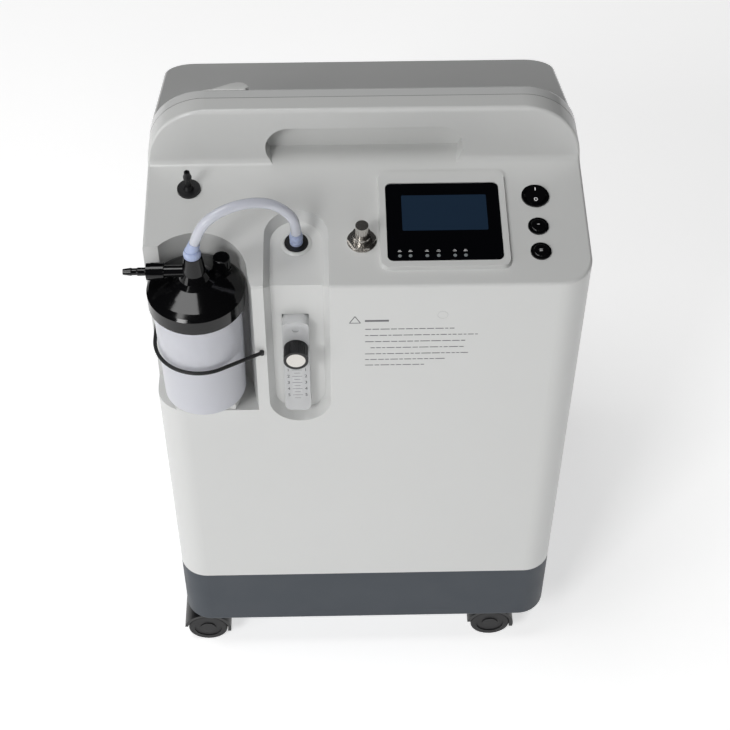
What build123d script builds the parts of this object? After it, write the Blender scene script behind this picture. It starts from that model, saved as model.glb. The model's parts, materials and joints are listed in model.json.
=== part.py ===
"""Oxygen concentrator: a wheeled cabinet with a compressor, sieve beds, flowmeter and humidifier bottle.

Working axes while modelling: X to the right, Y from the front face towards the back, Z up from the floor.
Every node is moved by FRAME_SHIFT when it is written, so that the origin is the bottom centre of the whole.
"""
from build123d import *
import math
import os

# ---------------------------------------------------------------- driving dimensions, mm
WIDTH = 365.0
DEPTH = 330.0
WALL = 3.0
PLAN_R = 27.0
CASTER_HEIGHT = 52.0
SKIRT_TOP = 131.0
CREASE_Z = 532.0
DECK_ANGLE = 8.47
DECK_END_Y = 130.5
RIDGE_FRONT_Y = 135.3
SEAM_Y = 153.0
RIDGE_BACK_Y = 165.0
RIDGE_TOP = 602.0
RIDGE_CORNER_R = 50.0
REAR_TOP_START_Z = 561.0
REAR_TOP_END_Z = 503.0
FIT = 0.05
GAP = 0.3
MARGIN = 20.0

DECK_END_Z = CREASE_Z + DECK_END_Y * math.tan(math.radians(DECK_ANGLE))

# handle pocket
HANDLE_HALF_LENGTH = 83.0
HANDLE_TOP_Z = 584.0
HANDLE_BACK_Y = 148.0
HANDLE_FRONT_Y = 118.0

# humidifier and its pocket
BOTTLE_X = -139.2
BOTTLE_Y = 15.0
POCKET_Y = 14.0
POCKET_R = 42.3
SHELF_Z = CREASE_Z - 150.0
STRIP_WALL_Y = 43.0
LID_R = 39.9
LID_RIM_Z = CREASE_Z - 12.0
LID_RIM_H = 16.0
BOTTLE_TOP_R = 36.7
BOTTLE_BASE_R = 34.8
BOTTLE_BASE_Z = CREASE_Z - 135.0
BOTTLE_WALL = 1.6
LID_CONE_TOP = 34.5
NOZZLE_Z = LID_RIM_Z + 17.5
NOZZLE_TIP_X = -196.0
STRAP_Z = CREASE_Z - 75.0
STRAP_R = 1.6
STRAP_REACH = BOTTLE_TOP_R + 2 * STRAP_R + 0.2

# flowmeter channel
CHANNEL_X = -57.5
CHANNEL_HALF_W = 26.5
CHANNEL_TOP_V = 79.5
CHANNEL_BOTTOM_Z = CREASE_Z - 165.4
CHANNEL_DEPTH = 11.0
CHANNEL_TAPER = 25.0
METER_X = -59.5
METER_W = 22.0
METER_TOP_Z = CREASE_Z - 42.0
METER_BOTTOM_Z = CREASE_Z - 152.0
METER_FRONT_Y = 1.0
KNOB_Z = CREASE_Z - 72.5
KNOB_R = 10.3
KNOB_END_Y = -13.7
TUBE_BORE_R = 4.6
FLOAT_R = 3.6

# control deck: positions are X across and V up the sloping deck from the crease
PANEL_X = 63.5
PANEL_V = 63.0
PANEL_W = 94.0
PANEL_H = 81.0
FRAME_W = 107.0
FRAME_H = 102.0
FRAME_V = 66.5
FRAME_RISE = 3.5
SWITCH_X = 141.0
ROCKER_V = 90.0
ROCKER_R = 11.5
BUTTON_VS = (58.2, 32.4)
BUTTON_R = 8.45
ROCKER_TILT = 9.0
OUTLET_V = 52.0
OUTLET_DEPTH = 10.0
SPARE_X = -146.7
SPARE_V = 102.5
METAL_PORT_X = -4.0
METAL_PORT_V = 46.0

# casters
WHEEL_R = 20.0
CASTER_X = 146.5
CASTER_INSET_Y = 29.0
CASTER_TRAIL = 16.5
STEM_R = 5.5

# back panel
DOOR_PROUD = 3.0
DOOR_X = -75.0
DOOR_Z = 440.0
DOOR_W = 130.0
DOOR_H = 100.0
INLET_X = 95.0
INLET_Z = 175.0

FRAME_SHIFT = (
    -(NOZZLE_TIP_X + WIDTH / 2) / 2,
    -(BOTTLE_Y - STRAP_REACH + DEPTH + DOOR_PROUD) / 2,
    0.0,
)

DECK = Plane(
    origin=(0, 0, CREASE_Z),
    x_dir=(1, 0, 0),
    z_dir=(0, -math.sin(math.radians(DECK_ANGLE)), math.cos(math.radians(DECK_ANGLE))),
)


# ---------------------------------------------------------------- small helpers
def on_deck(x, v, rise=0.0):
    """Location on the sloping deck, with local Z along the deck's outward normal."""
    return DECK.location * Pos(x, v, rise)


def on_front(x, z, y=0.0):
    """Location on a plane facing the front, with local Z pointing forwards."""
    return Location((x, y, z), (90, 0, 0))


def on_back(x, z, y=DEPTH):
    """Location on a plane facing the back, with local Z pointing backwards."""
    return Location((x, y, z), (-90, 0, 0))


def rod(radius, height, base=0.0):
    """Cylinder whose axis is local Z, standing on the height `base`."""
    return Pos(0, 0, base + height / 2) * Cylinder(radius, height)


def ring(outer, inner, height, base=0.0):
    """Plain tube section standing on the height `base`."""
    return rod(outer, height, base) - rod(inner, height + 2, base - 1)


def brick(x_range, y_range, z_range):
    """Box given by its limits along each axis."""
    lows = (x_range[0], y_range[0], z_range[0])
    sizes = (x_range[1] - x_range[0], y_range[1] - y_range[0], z_range[1] - z_range[0])
    return Pos(*lows) * Box(*sizes, align=(Align.MIN, Align.MIN, Align.MIN))


def polygon(points, plane, rounding=()):
    """Face through the points, with (index, radius) roundings at chosen corners."""
    face = make_face(plane * Polyline(*points, close=True))
    for index, radius in rounding:
        corner = plane.from_local_coords(Vector(*points[index]))
        vertex = face.vertices().sort_by_distance(corner)[0]
        face = fillet(vertex, radius)
    return face


def revolved(points):
    """Solid of revolution about local Z from (radius, height) points."""
    return revolve(make_face(Plane.XZ * Polyline(*points, close=True)), Axis.Z)


def stadium(length, width, height):
    """Slot-shaped block, long along local X, standing on local Z = 0."""
    return extrude(SlotOverall(length, width), height)


# ---------------------------------------------------------------- cabinet block
def cabinet_block(inset=0.0):
    """The whole cabinet above the floor of the skirt as one block, drawn in by `inset` on every side."""
    deck_slope = math.tan(math.radians(DECK_ANGLE))
    rear_slope = (REAR_TOP_START_Z - REAR_TOP_END_Z) / (DEPTH - RIDGE_BACK_Y)
    side_points = [
        (-MARGIN, 0),
        (-MARGIN, CREASE_Z - MARGIN * deck_slope),
        (DECK_END_Y, DECK_END_Z),
        (RIDGE_FRONT_Y, RIDGE_TOP),
        (RIDGE_BACK_Y, RIDGE_TOP),
        (RIDGE_BACK_Y + 2, REAR_TOP_START_Z),
        (DEPTH + MARGIN, REAR_TOP_END_Z - MARGIN * rear_slope),
        (DEPTH + MARGIN, 0),
    ]
    side = polygon(side_points, Plane.YZ, ((2, 6.0), (3, 4.0), (4, 3.0), (5, 8.0)))
    plan = Pos(0, DEPTH / 2) * RectangleRounded(WIDTH - 2 * inset, DEPTH - 2 * inset, PLAN_R - inset)
    half = WIDTH / 2 - inset
    top = RIDGE_TOP - inset
    corner = RIDGE_CORNER_R - inset
    front_points = [(-half, -MARGIN), (-half, top), (half, top), (half, -MARGIN)]
    front = polygon(front_points, Plane.XZ, ((1, corner), (2, corner)))
    if inset:
        side = offset(side, -inset, kind=Kind.INTERSECTION)
    solid = Pos(0, 0, CASTER_HEIGHT) * extrude(plan, 800)
    solid &= extrude(side, WIDTH, both=True)
    solid &= extrude(front, DEPTH + MARGIN, both=True)
    if inset:
        return solid
    crease = solid.edges().filter_by(lambda edge: is_top_rim(edge, 0, PLAN_R))
    solid = fillet(crease, 2.5)
    back_rim = solid.edges().filter_by(lambda edge: is_top_rim(edge, DEPTH - PLAN_R, DEPTH))
    return fillet(back_rim, 2.5)


def is_top_rim(edge, y_low, y_high):
    """Whether an edge is part of the rim between a sloping top and the walls, within two Y limits."""
    box = edge.bounding_box()
    within = box.min.Y > y_low - 1 and box.max.Y < y_high + 1
    return within and box.min.Z > REAR_TOP_END_Z - 5 and box.max.Z < CREASE_Z + 12


def between(solid, y_low, y_high, z_low, z_high=700.0):
    """The part of a solid within two Y limits and two Z limits."""
    return solid & brick((-300, 300), (y_low, y_high), (z_low, z_high))


# ---------------------------------------------------------------- front shell features
def pocket_plan():
    """Plan outline of the humidifier pocket, open to the left and to the front."""
    straight = polygon(
        [
            (-200, -60),
            (-200, STRIP_WALL_Y),
            (-160, STRIP_WALL_Y),
            (BOTTLE_X, POCKET_Y),
            (BOTTLE_X + POCKET_R, POCKET_Y),
            (BOTTLE_X + POCKET_R + 3.4, 0),
            (BOTTLE_X + POCKET_R + 3.4, -60),
        ],
        Plane.XY,
    )
    return straight + Pos(BOTTLE_X, POCKET_Y) * Circle(POCKET_R)


def pocket_space(grow=0.0):
    """Space of the humidifier pocket, grown by a wall when `grow` is given."""
    outline = pocket_plan()
    if grow:
        outline = offset(outline, grow)
    return Pos(0, 0, SHELF_Z - grow) * extrude(outline, RIDGE_TOP - SHELF_Z)


def channel_space(grow=0.0):
    """Recess that holds the flowmeter on the front face and the outlet on the deck."""
    half = CHANNEL_HALF_W + grow
    front_centre_z = (CREASE_Z + 8 + CHANNEL_BOTTOM_Z) / 2
    front_length = CREASE_Z + 8 - CHANNEL_BOTTOM_Z + 2 * half + 2 * grow
    front_outline = SlotOverall(front_length, 2 * half, rotation=90)
    front = on_front(CHANNEL_X, front_centre_z + half, 0) * extrude(
        front_outline, -(CHANNEL_DEPTH + grow), taper=CHANNEL_TAPER
    )
    front -= brick((-300, 300), (-50, 80), (CREASE_Z + 8, 800))
    deck_length = CHANNEL_TOP_V + 2 * half + 8
    deck_outline = SlotOverall(deck_length + 2 * grow, 2 * half, rotation=90)
    deck_centre = CHANNEL_TOP_V - deck_length / 2
    deck = on_deck(CHANNEL_X, deck_centre) * extrude(
        deck_outline, -(OUTLET_DEPTH + grow), taper=CHANNEL_TAPER
    )
    deck -= brick((-300, 300), (-80, -0.5), (0, 800))
    return front + deck


def handle_space(grow=0.0):
    """Finger pocket under the handle ridge, running on from the deck."""
    bottom = DECK_END_Z - 6
    height = HANDLE_TOP_Z - bottom + grow
    centre_z = bottom + height / 2
    space = on_front(0, centre_z, HANDLE_BACK_Y + grow) * stadium(
        2 * (HANDLE_HALF_LENGTH + grow), height, HANDLE_BACK_Y + grow - HANDLE_FRONT_Y
    )
    deck_block = on_deck(0, 100, -50) * Box(600, 500, 100)
    return space - Pos(0, 0, -grow) * deck_block


def make_front_shell(outer, inner):
    """Front half of the cabinet with the deck, ridge front, pocket, channel and frame."""
    shell = between(outer - inner, -1, SEAM_Y, SKIRT_TOP)
    walls = pocket_space(WALL) + channel_space(WALL) + handle_space(WALL)
    shell += between(walls & outer, -1, SEAM_Y, SKIRT_TOP)
    rim = extrude(RectangleRounded(FRAME_W, FRAME_H, 8), FRAME_RISE, taper=20)
    shell += on_deck(PANEL_X, FRAME_V) * rim
    shell -= pocket_space() + channel_space() + handle_space()
    panel_seat = extrude(RectangleRounded(PANEL_W + GAP, PANEL_H + GAP, 5.15), 10)
    shell -= on_deck(PANEL_X, PANEL_V, FRAME_RISE - 3.0) * panel_seat
    shell -= on_deck(PANEL_X, PANEL_V, -10) * Box(PANEL_W - 8, PANEL_H - 6, 40)
    shell -= on_deck(SWITCH_X, ROCKER_V) * rod(10.1, 20, -10)
    for v in BUTTON_VS:
        shell -= on_deck(SWITCH_X, v) * rod(7.3, 20, -10)
    shell -= on_deck(CHANNEL_X, OUTLET_V, -OUTLET_DEPTH) * rod(6.1, 20, -10)
    shell -= on_deck(SPARE_X, SPARE_V) * rod(6.1, 20, -10)
    shell -= on_deck(METAL_PORT_X, METAL_PORT_V) * rod(6.1, 20, -10)
    meter_slot = brick(
        (METER_X - METER_W / 2 - FIT, METER_X + METER_W / 2 + FIT),
        (5, 25),
        (METER_BOTTOM_Z - FIT, METER_TOP_Z + FIT),
    )
    return shell - meter_slot + make_humidifier_seat()


def make_rear_shell(outer, inner):
    """Rear half of the cabinet with the filter door seat, vents and power inlet."""
    shell = between(outer - inner, SEAM_Y, DEPTH + 1, SKIRT_TOP)
    seat = brick(
        (DOOR_X - DOOR_W / 2 - 6, DOOR_X + DOOR_W / 2 + 6),
        (DEPTH - 24, DEPTH - 1),
        (DOOR_Z - DOOR_H / 2 - 6, DOOR_Z + DOOR_H / 2 + 6),
    )
    shell += seat
    shell -= brick(
        (DOOR_X - DOOR_W / 2 + 3, DOOR_X + DOOR_W / 2 - 3),
        (DEPTH - 21, DEPTH + 1),
        (DOOR_Z - DOOR_H / 2 + 3, DOOR_Z + DOOR_H / 2 - 3),
    )
    shell -= brick(
        (DOOR_X - 30, DOOR_X + 30),
        (DEPTH - 30, DEPTH),
        (DOOR_Z - 30, DOOR_Z + 30),
    )
    for row in range(7):
        z = 230 + row * 12
        shell -= brick((-110, 20), (DEPTH - 10, DEPTH + 1), (z, z + 5))
    shell -= on_back(INLET_X, INLET_Z, DEPTH - 5) * extrude(RectangleRounded(28.2, 48.2, 3), 10)
    shell -= on_back(INLET_X, INLET_Z + 50, DEPTH - 5) * rod(8.05, 10)
    for x, z in BACK_SCREWS:
        shell -= on_back(x, z) * rod(2.2, 20, -10)
    return shell


BACK_SCREWS = [(x, z) for x in (-150, 150) for z in (160, 300, 470)]


# ---------------------------------------------------------------- base
def caster_points():
    """Name, X and Y of each caster stem."""
    front_y = CASTER_INSET_Y
    back_y = DEPTH - CASTER_INSET_Y
    return [
        ("front_left", -CASTER_X, front_y),
        ("front_right", CASTER_X, front_y),
        ("rear_left", -CASTER_X, back_y),
        ("rear_right", CASTER_X, back_y),
    ]


def make_base_tray():
    """Grey skirt and floor that carries the machine, with four caster bosses."""
    plan = Pos(0, DEPTH / 2) * RectangleRounded(WIDTH, DEPTH, PLAN_R)
    outer = Pos(0, 0, CASTER_HEIGHT) * extrude(plan, SKIRT_TOP - CASTER_HEIGHT)
    bottom_edges = outer.edges().group_by(Axis.Z)[0]
    outer = fillet(bottom_edges, 4)
    inner_plan = offset(plan, -WALL)
    tray = outer - Pos(0, 0, CASTER_HEIGHT + WALL) * extrude(inner_plan, 200)
    lip = extrude(offset(plan, -WALL - GAP), 8) - extrude(offset(plan, -2 * WALL), 8)
    lip_root = extrude(offset(plan, -WALL + 1), 3) - extrude(offset(plan, -2 * WALL), 3)
    tray += Pos(0, 0, SKIRT_TOP - 3) * (lip + lip_root)
    for _, x, y in caster_points():
        tray += Pos(x, y, CASTER_HEIGHT) * rod(13, 36)
        tray -= Pos(x, y, CASTER_HEIGHT - 1) * rod(STEM_R + FIT, 60)
    for row in range(5):
        x = -60 + row * 30
        tray -= Pos(x, 160, CASTER_HEIGHT - 1) * stadium(90, 8, 10).rotate(Axis.Z, 90)
    return tray


def make_caster_hood(x, y):
    """Hood, web and stem of one twin-wheel caster, trailing towards -X."""
    axle_x = x - CASTER_TRAIL
    across = Location((axle_x, y, WHEEL_R), (90, 0, 0))
    hood = across * Cylinder(WHEEL_R + 4, 38)
    hood -= brick((axle_x - 60, axle_x + 60), (y - 40, y + 40), (-10, 15))
    hood -= brick((axle_x - 60, axle_x + 60), (y - 40, y + 40), (15, 24)) & brick(
        (axle_x - 60, axle_x - 10), (y - 40, y + 40), (0, 60)
    )
    for side in (-1, 1):
        hood -= across * Pos(0, 0, side * 12) * Cylinder(WHEEL_R + 0.8, 16)
    hood += across * Cylinder(7, 7)
    boss = Pos(x, y, 30) * rod(11, 18)
    for side in (-1, 1):
        boss -= across * Pos(0, 0, side * 12) * Cylinder(WHEEL_R + 0.8, 16)
    hood += boss
    hood -= across * Cylinder(3 + FIT, 60)
    hood += Pos(x, y, 46) * rod(STEM_R, 38)
    return hood


def make_caster_wheels(x, y):
    """Two wheels joined by their axle."""
    across = Location((x - CASTER_TRAIL, y, WHEEL_R), (90, 0, 0))
    wheels = across * Cylinder(3, 30)
    for side in (-1, 1):
        wheel = Cylinder(WHEEL_R, 14)
        wheel = fillet(wheel.edges(), 1.5)
        wheel -= Pos(0, 0, side * 7) * ring(14, 8, 2, -1)
        wheels += across * Pos(0, 0, side * 11.4) * wheel
    return wheels


# ---------------------------------------------------------------- control deck parts
def make_display_window():
    """Glossy black lens over the display, with holes for the status lights."""
    lens = extrude(RectangleRounded(PANEL_W, PANEL_H, 5), 2.4)
    lens = fillet(lens.edges().group_by(Axis.Z)[-1], 0.6)
    lens = on_deck(PANEL_X, PANEL_V, FRAME_RISE - 2.9) * lens
    for x, v in LED_POINTS:
        lens -= on_deck(x, v) * rod(1.55, 10, -2)
    return lens


LED_POINTS = [(x, 27.8) for x in (26.4, 35.0, 48.5, 57.8, 71.0, 79.7)]


def make_indicator_leds():
    """Row of status lights that stand in the lens."""
    return [on_deck(x, v, FRAME_RISE - 6.4) * rod(1.5, 6.0) for x, v in LED_POINTS]


def make_lcd_module():
    """Liquid crystal module behind the lens."""
    return on_deck(64.6, 72.0, FRAME_RISE - 3.1 - 4.0) * Box(72, 39, 8)


def make_display_board():
    """Circuit board below the deck that carries the display, lights and switches."""
    board = on_deck(PANEL_X, PANEL_V, -6.4) * Box(82, 70, 1.6)
    cavity = on_deck(64.6, 72.0, -3.6) * Box(72.4, 39.4, 20)
    return board - cavity


def make_rocker_bezel():
    """Round bezel and body of the power switch."""
    body = rod(ROCKER_R, 1.6) + rod(10.0, 20, -19)
    body -= rod(9.3, 30, -16)
    return on_deck(SWITCH_X, ROCKER_V) * body


def make_rocker():
    """Round rocker of the power switch, resting with its near side pressed."""
    paddle = rod(8.6, 3.2) + rod(5.5, 9, -8.5) + Rot(0, 90, 0) * rod(1.5, 18.4, -9.2)
    mark = Pos(0, 5.0, 3.2) * Box(0.8, 3.0, 0.3)
    circle = Pos(0, -4.8, 3.05) * ring(1.6, 1.0, 0.3)
    paddle += mark + circle
    return on_deck(SWITCH_X, ROCKER_V, 0.6) * Rot(ROCKER_TILT, 0, 0) * paddle


def make_button_bezels():
    """Bezels of the two push buttons."""
    bezel = ring(BUTTON_R, 6.7, 1.4) + ring(7.2, 6.7, 12, -11) + rod(7.2, 1, -12)
    return [on_deck(SWITCH_X, v) * bezel for v in BUTTON_VS]


def make_button(v):
    """Crowned push button cap."""
    cap = rod(6.35, 8, -5.6)
    cap = fillet(cap.edges().group_by(Axis.Z)[-1], 1.0)
    return on_deck(SWITCH_X, v) * cap


def barb_points(length, bore, root, ridge, ridges):
    """Half section of a ridged hose barb that stands on height 0."""
    points = [(bore, 0), (root, 0)]
    pitch = length / ridges
    for index in range(ridges):
        z = (index + 1) * pitch
        points += [(root, z - pitch * 0.75), (ridge, z - pitch * 0.7), (root, z)]
    points += [(bore, length)]
    return points


def make_barb_port(disc_r, length, root, ridge, ridges, bore=1.4):
    """Round flange with a hose barb above it and a threaded tail below it."""
    port = ring(disc_r, bore, 2.2) + ring(6.0, bore, 12, -11.9)
    port += Pos(0, 0, 2.1) * revolved(barb_points(length, bore, root, ridge, ridges))
    return port


def make_outlet_port():
    """Oxygen outlet in the channel, which the hose connector stands on."""
    return on_deck(CHANNEL_X, OUTLET_V, -OUTLET_DEPTH) * make_barb_port(9.6, 5, 2.6, 3.4, 1)


def make_outlet_connector():
    """Pale connector that joins the outlet to the hose."""
    points = [
        (3.6, 0), (5.4, 0), (5.4, 2.4), (4.6, 3.2), (4.6, 4.6), (5.6, 5.4),
        (5.6, 8.0), (4.7, 9.2), (4.7, 12.0), (1.5, 12.0), (1.5, 6.5), (3.6, 6.5),
    ]
    return on_deck(CHANNEL_X, OUTLET_V, -OUTLET_DEPTH + 2.2) * revolved(points)


def make_spare_port():
    """Spare barbed port at the deck's upper left."""
    points = [
        (1.4, 0), (4.2, 0), (2.6, 3), (2.3, 11), (3.4, 12.5), (3.6, 15), (2.6, 18), (2.4, 20.5), (1.4, 20.5),
    ]
    port = ring(9.8, 1.4, 2.0) + ring(6.0, 1.4, 12, -11.9) + Pos(0, 0, 1.9) * revolved(points)
    return on_deck(SPARE_X, SPARE_V) * port


def make_metal_port():
    """Hexagonal nut, threaded neck and collar of the metal gas port."""
    nut = extrude(RegularPolygon(12, 6), 3.2) + rod(12.2, 0.8)
    neck = rod(5.9, 21, -11.9) + rod(7.6, 2.0, 7.0)
    return on_deck(METAL_PORT_X, METAL_PORT_V) * (nut + neck + rod(6.8, 3.8, 3.1))


def make_port_cap():
    """Knurled cap of the metal gas port."""
    cap = rod(5.3, 11.0, 9.1 + GAP)
    for index in range(18):
        groove = Pos(5.3, 0, 14.2) * Box(0.7, 0.7, 7)
        cap -= Rot(0, 0, index * 20) * groove
    return on_deck(METAL_PORT_X, METAL_PORT_V) * cap


# ---------------------------------------------------------------- flowmeter
def make_flowmeter_body():
    """Clear block of the flowmeter with its vertical bore and flanged back."""
    body = brick(
        (METER_X - METER_W / 2, METER_X + METER_W / 2),
        (METER_FRONT_Y, 24),
        (METER_BOTTOM_Z, METER_TOP_Z),
    )
    body = fillet(body.edges().filter_by(Axis.Y), 6)
    body -= Pos(METER_X, 11, METER_BOTTOM_Z + 10) * rod(TUBE_BORE_R, 52)
    body -= on_front(METER_X, KNOB_Z, 20) * rod(3.5 + FIT, 30)
    body -= on_front(METER_X, METER_TOP_Z - 9, 12) * rod(5.0, 20)
    return body


def make_flowmeter_plug():
    """Round stopper in the flowmeter's upper front."""
    plug = rod(5.0, 9.0) - rod(2.6, 1.2, 8.0)
    return on_front(METER_X, METER_TOP_Z - 9, 10) * plug


def make_flow_float():
    """Ball that rides in the flowmeter's bore."""
    return Pos(METER_X, 11, METER_BOTTOM_Z + 10 + FLOAT_R) * Sphere(FLOAT_R)


def make_flow_knob():
    """Black needle valve knob with its spindle."""
    length = METER_FRONT_Y - GAP - KNOB_END_Y
    knob = rod(KNOB_R, length)
    for index in range(24):
        groove = Pos(KNOB_R, 0, length / 2) * Box(0.8, 0.8, length - 3)
        knob -= Rot(0, 0, index * 15) * groove
    knob += rod(3.5, 17, -16)
    knob -= rod(8.1, 0.7, length - 0.6)
    return on_front(METER_X, KNOB_Z, METER_FRONT_Y - GAP) * knob


# ---------------------------------------------------------------- humidifier
def make_humidifier_seat():
    """Raised cradle moulded on the shelf, which the bottle stands on."""
    pad = rod(30, BOTTLE_BASE_Z - SHELF_Z + 1, -1)
    seat = Pos(BOTTLE_X, BOTTLE_Y + 2, SHELF_Z) * pad
    return seat - brick((-300, 300), (-60, 1.0), (0, 800))


def make_bottle():
    """Translucent bottle, slightly narrower towards its base."""
    height = LID_RIM_Z - LID_RIM_H + 8 - BOTTLE_BASE_Z
    points = [
        (0, 0), (BOTTLE_BASE_R - 3, 0), (BOTTLE_BASE_R, 3), (BOTTLE_TOP_R, height - 8),
        (BOTTLE_TOP_R, height), (BOTTLE_TOP_R - BOTTLE_WALL, height),
        (BOTTLE_BASE_R - BOTTLE_WALL, 4), (BOTTLE_BASE_R - BOTTLE_WALL - 2, 2), (0, 2),
    ]
    return Pos(BOTTLE_X, BOTTLE_Y, BOTTLE_BASE_Z) * revolved(points)


def make_lid():
    """Black screw lid with its dome and central cone."""
    outer = [
        (LID_R - 0.6, -LID_RIM_H), (LID_R, -LID_RIM_H + 1), (LID_R, -2), (LID_R - 2, 0), (34, 2.2),
        (26, 5.6), (17, 9.2), (12.5, 12), (9.6, 18), (8.4, 27), (7.6, LID_CONE_TOP),
    ]
    inner = [
        (2.5, LID_CONE_TOP), (2.5, 10), (9, 7.5), (17, 5.6), (26, 2.2), (34, -1.2), (36.2, -2.4),
        (36.2, -7.6), (BOTTLE_TOP_R + GAP, -7.6), (BOTTLE_TOP_R + GAP, -LID_RIM_H),
    ]
    lid = Pos(BOTTLE_X, BOTTLE_Y, LID_RIM_Z) * revolved(outer + inner)
    nozzle_root = Location((BOTTLE_X - 24, BOTTLE_Y, NOZZLE_Z), (0, -90, 0))
    lid += nozzle_root * rod(7.3, 10.5)
    duct = Location((BOTTLE_X - 4, BOTTLE_Y, NOZZLE_Z), (0, -90, 0)) * rod(5, 22)
    lid += duct
    relief_base = Pos(RELIEF_X, RELIEF_Y, LID_RIM_Z + 1) * rod(7.6, 8.2)
    lid += relief_base
    core = Pos(BOTTLE_X, BOTTLE_Y, LID_RIM_Z) * revolved([(0, 60), (0, -20)] + list(reversed(inner)))
    return lid - core


RELIEF_X = BOTTLE_X + 21.5
RELIEF_Y = BOTTLE_Y + 13.0


def make_outlet_nozzle():
    """Stepped barb on the lid for the patient's tube."""
    start = BOTTLE_X - 34.5
    length = start - NOZZLE_TIP_X
    points = [
        (1.3, 0), (6.9, 0), (6.9, 3.5), (3.4, 4.5), (3.4, length - 12), (2.9, length - 11),
        (2.9, length - 7.5), (3.3, length - 6.5), (2.4, length), (1.3, length),
    ]
    return Location((start, BOTTLE_Y, NOZZLE_Z), (0, -90, 0)) * revolved(points)


def make_relief_cap():
    """Ribbed cap of the lid's pressure relief valve."""
    cap = rod(7.0, 11.0)
    cap = fillet(cap.edges().group_by(Axis.Z)[-1], 1.0)
    for index in range(16):
        cap -= Rot(0, 0, index * 22.5) * (Pos(7.0, 0, 5.0) * Box(0.9, 0.9, 9))
    return Pos(RELIEF_X, RELIEF_Y, LID_RIM_Z + 9.2) * cap


def make_inlet_connector():
    """Pale cup-shaped connector on the lid's cone, with its spout leaning towards the outlet."""
    cup = revolved([(2.0, 0), (7.0, 0), (7.2, 3.0), (6.0, 6.2), (1.5, 6.2), (1.5, 5.0), (2.0, 4.0)])
    spout = revolved([(1.5, -1.0), (5.4, -1.0), (5.2, 4.0), (4.7, SPOUT_LENGTH), (1.5, SPOUT_LENGTH)])
    cup = Pos(BOTTLE_X, BOTTLE_Y, LID_RIM_Z + LID_CONE_TOP) * cup
    return cup + spout_axis() * (spout - rod(1.5, 4, -2))


def make_dip_tube():
    """Tube that carries oxygen down into the water, with the diffuser at its foot."""
    length = LID_RIM_Z + 20 - BOTTLE_BASE_Z
    tube = ring(2.4, 1.6, length - 20, 20)
    foot = fillet(rod(5.0, 16.0, 8).edges().group_by(Axis.Z)[0], 1.5)
    return Pos(BOTTLE_X, BOTTLE_Y, BOTTLE_BASE_Z) * (tube + foot)


def make_strap():
    """Elastic strap that holds the bottle into its pocket."""
    radius = STRAP_REACH - STRAP_R
    end_x, end_y = -88.0, -STRAP_R
    dx, dy = end_x - BOTTLE_X, end_y - BOTTLE_Y
    reach = math.hypot(dx, dy)
    touch = math.degrees(math.atan2(dy, dx)) - math.degrees(math.acos(radius / reach))
    centre = Vector(BOTTLE_X, BOTTLE_Y)
    right = centre + Vector(radius, 0).rotate(Axis.Z, touch)
    left = centre + Vector(-radius, 0)
    front = centre + Vector(radius, 0).rotate(Axis.Z, (touch - 180) / 2)
    start = Vector(left.X, STRIP_WALL_Y)
    path = Line(start, left) + ThreePointArc(left, front, right) + Line(right, Vector(end_x, end_y))
    section = Plane(origin=start, z_dir=(0, -1, 0)) * Circle(STRAP_R)
    strap = Pos(0, 0, STRAP_Z) * sweep(section, path=path)
    anchor = on_front(end_x, STRAP_Z, 0) * rod(2.0, 2 * STRAP_R)
    return strap + anchor


# ---------------------------------------------------------------- hose between humidifier and outlet
HOSE_R = 4.2
SPOUT_LEAN = 20.0
SPOUT_BEARING = 24.0
SPOUT_LENGTH = 7.5
HOSE_MIDDLE = [
    (-126.5, 20.8, CREASE_Z + 54.9),
    (-113.6, 26.5, CREASE_Z + 62.4),
    (-95.3, 34.6, CREASE_Z + 62.4),
    (-77.3, 42.6, CREASE_Z + 55.2),
    (-63.8, 46.6, CREASE_Z + 40.5),
]


def spout_axis(rise=0.0):
    """Location on the connector's leaning axis, with local Z along it."""
    root = Pos(BOTTLE_X, BOTTLE_Y, LID_RIM_Z + LID_CONE_TOP + 5.0)
    return root * Rot(0, 0, SPOUT_BEARING) * Rot(0, SPOUT_LEAN, 0) * Pos(0, 0, rise)


def above_spout(rise):
    """Point on the connector's axis, `rise` above the end of its spout."""
    return tuple(spout_axis(SPOUT_LENGTH + rise).position)


def above_outlet(rise):
    """Point on the outlet's axis, `rise` above the top of its connector."""
    return tuple(on_deck(CHANNEL_X, OUTLET_V, -OUTLET_DEPTH + 14.2 + rise).position)


def cord_radii(points):
    """Largest arc at each inner point: 0.45 of the shorter run over the tangent of half the turn."""
    radii = []
    for before, here, after in zip(points, points[1:], points[2:]):
        run_in = Vector(*here) - Vector(*before)
        run_out = Vector(*after) - Vector(*here)
        half_turn = math.radians(run_in.get_angle(run_out) / 2)
        radii.append(0.45 * min(run_in.length, run_out.length) / math.tan(half_turn))
    return radii


def make_oxygen_hose():
    """Soft hose from the outlet to the humidifier lid."""
    points = [above_spout(0.0), above_spout(11.0), *HOSE_MIDDLE, above_outlet(14.5), above_outlet(0.0)]
    radii = cord_radii(points)
    path = FilletPolyline(*points, radius=radii)
    hose = sweep(Plane(path @ 0, z_dir=path % 0) * Circle(HOSE_R), path=path)
    ideal = math.pi * HOSE_R**2 * path.length
    print("hose length", round(path.length, 1), "radii", [round(r, 1) for r in radii])
    print("hose runs", [round(math.dist(a, b), 1) for a, b in zip(points, points[1:])])
    print("hose points", [[round(c / 1000, 5) for c in Vector(*point) + Vector(*FRAME_SHIFT)] for point in points])
    print("hose volume", round(hose.volume), "section times length", round(ideal))
    return hose


# ---------------------------------------------------------------- inside the cabinet
def make_compressor_box():
    """Sound-deadening box around the compressor, open at its top for the fan."""
    box = brick((-92, 92), (80, 248), (58, 232)) - brick((-86, 86), (86, 242), (64, 240))
    box -= brick((-40, 40), (60, 100), (70, 100))
    return box


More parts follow.
